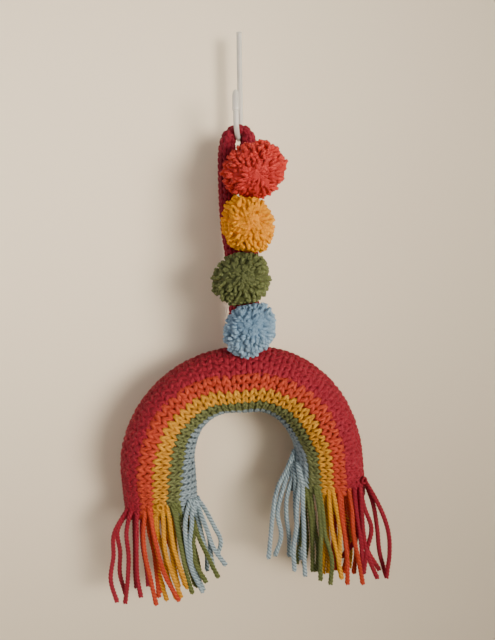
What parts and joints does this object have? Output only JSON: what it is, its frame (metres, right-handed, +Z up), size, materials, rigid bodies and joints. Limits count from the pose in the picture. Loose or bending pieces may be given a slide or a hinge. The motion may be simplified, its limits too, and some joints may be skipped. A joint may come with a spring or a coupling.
{
  "type": "knitted rainbow on a wire hook",
  "caption": "Stuffed knitted rainbow arch with yarn fringe at both feet and pompoms on its knitted hanging loop, on a wire hook.",
  "frame": {"origin": "centre of the flat top end of the hook's shank", "axes": "+Z up along the shank, +X to the right of the face, and the face with the pompoms looks along -Y"},
  "size_m": [0.1716, 0.054, 0.3536],
  "materials": {
    "striped_knit": "soft matt stocking stitch in five stripes",
    "yarn_red": "soft matt plied yarn",
    "yarn_orange": "soft matt plied yarn",
    "yarn_yellow": "soft matt plied yarn",
    "yarn_green": "soft matt plied yarn",
    "yarn_blue": "soft matt plied yarn",
    "enamel": "glossy off-white enamel"
  },
  "bodies": {
    "root": {"hook": "enamel", "hook_cap": "enamel", "hanging_loop": "yarn_red", "arch": "striped_knit", "pompom_orange": "yarn_orange", "pompom_yellow": "yarn_yellow", "pompom_green": "yarn_green", "pompom_blue": "yarn_blue", "fringe_left_red": "yarn_red", "fringe_left_orange": "yarn_orange", "fringe_left_yellow": "yarn_yellow", "fringe_left_green": "yarn_green", "fringe_left_blue": "yarn_blue", "fringe_right_blue": "yarn_blue", "fringe_right_green": "yarn_green", "fringe_right_yellow": "yarn_yellow", "fringe_right_orange": "yarn_orange", "fringe_right_red": "yarn_red"}
  },
  "joints": []
}
